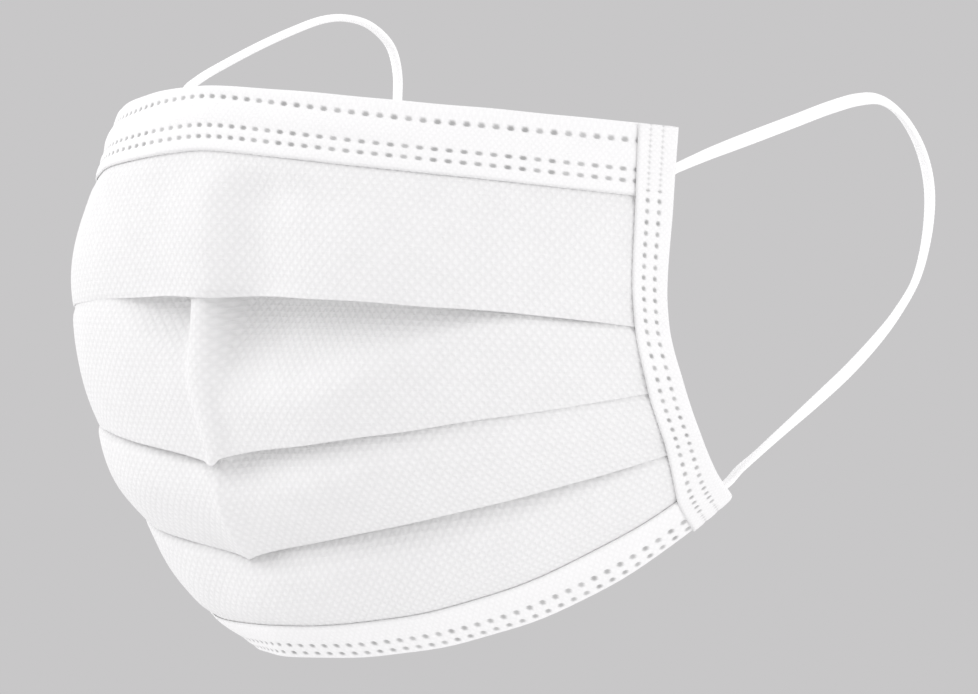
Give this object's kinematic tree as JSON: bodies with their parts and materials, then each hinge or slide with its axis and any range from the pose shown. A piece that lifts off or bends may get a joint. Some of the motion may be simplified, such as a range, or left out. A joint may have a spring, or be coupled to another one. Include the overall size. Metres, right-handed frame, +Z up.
{
  "type": "surgical face mask",
  "caption": "Pleated surgical face mask in white nonwoven cloth, opened to its worn shape, with folded nose and chin hems, side tapes and elastic ear loops.",
  "frame": {"origin": "the middle of the opening that sits on the face, halfway between the side tapes", "axes": "+X from the left tape to the right tape as seen from the front, +Y towards the wearer's face, +Z up to the nose hem"},
  "size_m": [0.1478, 0.1375, 0.1321],
  "materials": {
    "panel_nonwoven": "matt white spunbond nonwoven with a fine diamond emboss",
    "hem_nonwoven": "smooth white spunbond nonwoven with rows of pressed welds",
    "binding_tape": "smooth white folded tape with two rows of round welds",
    "ear_elastic": "soft white knitted elastic cord"
  },
  "bodies": {
    "root": {"pleated_panel": "panel_nonwoven", "nose_hem": "hem_nonwoven", "chin_hem": "hem_nonwoven", "side_binding_left": "binding_tape", "side_binding_right": "binding_tape", "ear_loop_left": "ear_elastic", "ear_loop_right": "ear_elastic"}
  },
  "joints": []
}
